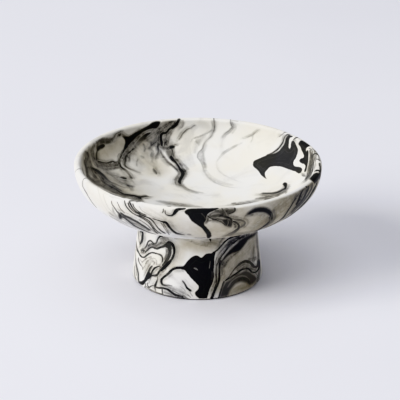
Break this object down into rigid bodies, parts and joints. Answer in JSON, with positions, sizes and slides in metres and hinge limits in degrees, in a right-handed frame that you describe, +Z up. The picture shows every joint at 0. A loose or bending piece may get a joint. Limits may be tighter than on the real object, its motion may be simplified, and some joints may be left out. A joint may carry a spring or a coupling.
{
  "type": "footed ring dish",
  "caption": "Shallow round bowl with a soft lip on a short conical foot, cast in black, grey and cream marbled material, for rings and small jewellery.",
  "frame": {"origin": "middle of the circle that the dish stands on, at table height", "axes": "+Z up through the middle of the foot and the bowl, and +Y away from the side that the picture shows"},
  "size_m": [0.12, 0.12, 0.0598],
  "materials": {
    "marbled_bowl": "satin, marbled in black, grey and cream",
    "marbled_foot": "satin, marbled in black, grey and cream",
    "adhesive": "cured, satin",
    "felt": "short felt"
  },
  "bodies": {
    "root": {"bowl": "marbled_bowl", "foot": "marbled_foot", "adhesive_layer": "adhesive", "felt_pad": "felt"}
  },
  "joints": []
}
